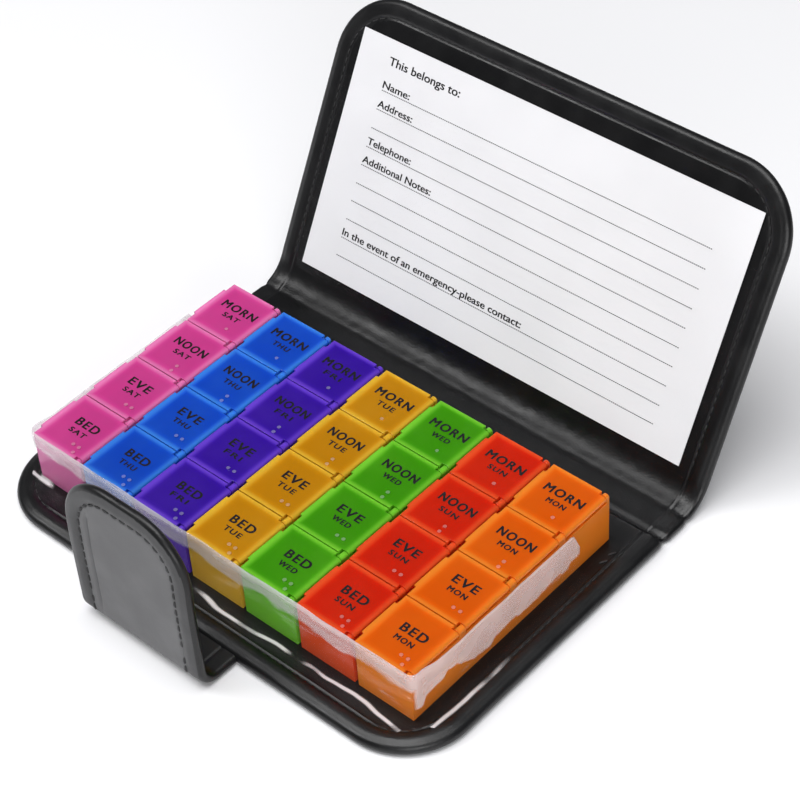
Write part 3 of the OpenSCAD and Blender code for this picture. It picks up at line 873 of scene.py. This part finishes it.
def make_pocket():
    """Clear sheet welded to the cover round three sides, open at the top."""
    side = CARD_HI[0] + 3.5
    s0, s1 = CARD_S0 - 3.1, CARD_S0 - 0.1 + 0.8 * (CARD_S1 - CARD_S0)
    nx, ns = 60, 30
    verts = []
    for t in np.linspace(0, 1, ns):
        s = s0 + t * (s1 - s0)
        for x in np.linspace(-side, side, nx):
            inside = smooth(0.3, 3.2, side - abs(x)) * smooth(0.3, 3.0, s - s0)
            wave = 0.12 * wander((x, s, 0), 26.0, 5.0)
            verts.append(on_cover(x, s, TOP_OFF + 0.28 + inside * (0.6 + wave)))
    obj = make_object("pocket_sheet", verts, grid_faces(ns, nx), [POCKET])
    add_thickness(obj, 0.15)
    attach(obj, "cover")
    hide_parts("card_pocket")


def add_thickness(obj, thick):
    """Gives a sheet its thickness and leaves it as one closed mesh."""
    solid = obj.modifiers.new("thick", "SOLIDIFY")
    solid.thickness = thick * MM
    solid.offset = 0
    graph = bpy.context.evaluated_depsgraph_get()
    old = obj.data
    obj.data = bpy.data.meshes.new_from_object(obj.evaluated_get(graph))
    obj.modifiers.clear()
    bpy.data.meshes.remove(old)


# ---- clear film holder ----
def film_path():
    """Points and outward directions along the foot of the film: left side, front, right side."""
    x0, back, _ = box_mm("film_left")[1]
    x1, y0 = FILM_RIGHT, FILM_FRONT
    r = 2.5
    pts = [((x0, y), (-1, 0)) for y in np.arange(back, y0 + r, -1.5)]
    for t in np.linspace(0, math.pi / 2, 6):
        pts.append(((x0 + r - r * math.cos(t), y0 + r - r * math.sin(t)), (-math.cos(t), -math.sin(t))))
    pts += [((x, y0), (0, -1)) for x in np.arange(x0 + r + 1.5, x1 - r, 1.5)]
    for t in np.linspace(math.pi / 2, 0, 6):
        pts.append(((x1 - r + r * math.cos(t), y0 + r - r * math.sin(t)), (math.cos(t), -math.sin(t))))
    pts += [((x1, y), (1, 0)) for y in np.arange(y0 + r + 1.5, back + 0.1, 1.5)]
    return pts


def make_film():
    pts = film_path()
    across = [(7.0, 0.0), (6.0, 0.0), (5.0, 0.0), (4.0, 0.0), (3.0, 0.0), (2.0, 0.0), (1.2, 0.0), (0.6, 0.1),
              (0.2, 0.4), (0.0, 1.0)]
    wall = np.linspace(0.08, 1.0, 16)
    verts = []
    back = max(p[0][1] for p in pts)
    for (px, py), (nx, ny) in pts:
        front = 1 - smooth(-38, -30, py)
        top = 21.5 * front + 20.0 * (1 - front) - 9.0 * smooth(back - 5, back, py)
        top += 0.3 * wander((px, py, 0), 16.0, 2.0)
        corner = min(1.0, (abs(nx) * abs(ny)) * 4)
        for out, up in across:
            flap = smooth(1.5, 7.0, out)
            wave = flap * (0.9 + 0.9 * wander((px, py, 0), 8.0, 6.0) + 0.5 * wander((px, py, 0), 3.5, 1.0))
            width = out * (1 - 0.55 * corner) * (1 + 0.12 * wander((px, py, 0), 12.0, 8.0))
            verts.append((px + nx * width, py + ny * width, PANEL_T + 0.3 + up + max(0.0, wave) * 0.5))
        for h in wall:
            bulge = 0.45 * wander((px, py, h * 22), 10.0, 3.0) * smooth(0.1, 0.5, h) + 0.45 * h
            out = bulge - 0.5 * front * smooth(0.9, 1.0, h)
            verts.append((px + nx * out, py + ny * out, PANEL_T + 1.3 + h * (top - 1.3)))
    cols = len(across) + len(wall)
    obj = make_object("film_sheet", verts, grid_faces(len(pts), cols), [FILM], angle=80)
    add_thickness(obj, 0.2)
    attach(obj, "tray")
    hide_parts("film_front", "film_left", "film_right")


# ---- magnets left as drawn ----
def finish_cad_nodes():
    for node in ("strap_magnet", "cover_keeper"):
        obj = frame["nodes"][node]
        obj.data.materials.clear()
        obj.data.materials.append(STEEL)


# ---- stage ----
def area_light(name, place, target, size, power):
    data = bpy.data.lights.new(name, "AREA")
    data.shape = "RECTANGLE"
    data.size, data.size_y = size
    data.energy = power
    obj = bpy.data.objects.new(name, data)
    SCENE.collection.objects.link(obj)
    obj.location = place
    obj.rotation_mode = "QUATERNION"
    obj.rotation_quaternion = (Vector(target) - Vector(place)).to_track_quat("-Z", "Y")


def make_stage():
    size = 6.0
    mesh = bpy.data.meshes.new("floor")
    corners = [(-size, -size, 0), (size, -size, 0), (size, size, 0), (-size, size, 0)]
    mesh.from_pydata(corners, [], [(0, 1, 2, 3)])
    mesh.materials.append(floor_material("studio_floor"))
    floor = bpy.data.objects.new("floor", mesh)
    floor.location.z = -0.0003
    SCENE.collection.objects.link(floor)
    world = bpy.data.worlds.new("studio")
    world.use_nodes = True
    world.node_tree.nodes["Background"].inputs[0].default_value = (0.93, 0.94, 1.0, 1)
    world.node_tree.nodes["Background"].inputs[1].default_value = 0.16
    SCENE.world = world
    area_light("overhead", (0.1, -0.15, 1.6), (0, 0.05, 0), (1.1, 1.1), 22)
    area_light("key", (-0.75, -0.5, 1.2), (0.0, 0.06, 0.02), (0.6, 0.6), 9)
    area_light("fill", (1.0, -0.75, 0.55), (0.0, 0.0, 0.02), (0.8, 0.6), 8)
    SCENE.view_settings.view_transform = "Standard"


def make_camera():
    """right, up and back are the camera's own axes."""
    data = bpy.data.cameras.new("camera")
    data.lens = 105.64
    data.sensor_width = 36.0
    right = Vector((0.74884, 0.66058, -0.05362))
    up = Vector((-0.42585, 0.54159, 0.72480))
    back = Vector((0.50783, -0.51992, 0.68687))
    turn = Matrix((right, up, back)).transposed().to_4x4()
    cam = bpy.data.objects.new("camera", data)
    SCENE.collection.objects.link(cam)
    cam.matrix_world = Matrix.Translation((0.3965, -0.3586, 0.5604)) @ turn
    SCENE.camera = cam


make_case()
make_case_stitches()
make_strap()
make_strap_stitches()
make_strips()
make_labels()
make_card()
make_pocket()
make_film()
finish_cad_nodes()
make_stage()
make_camera()
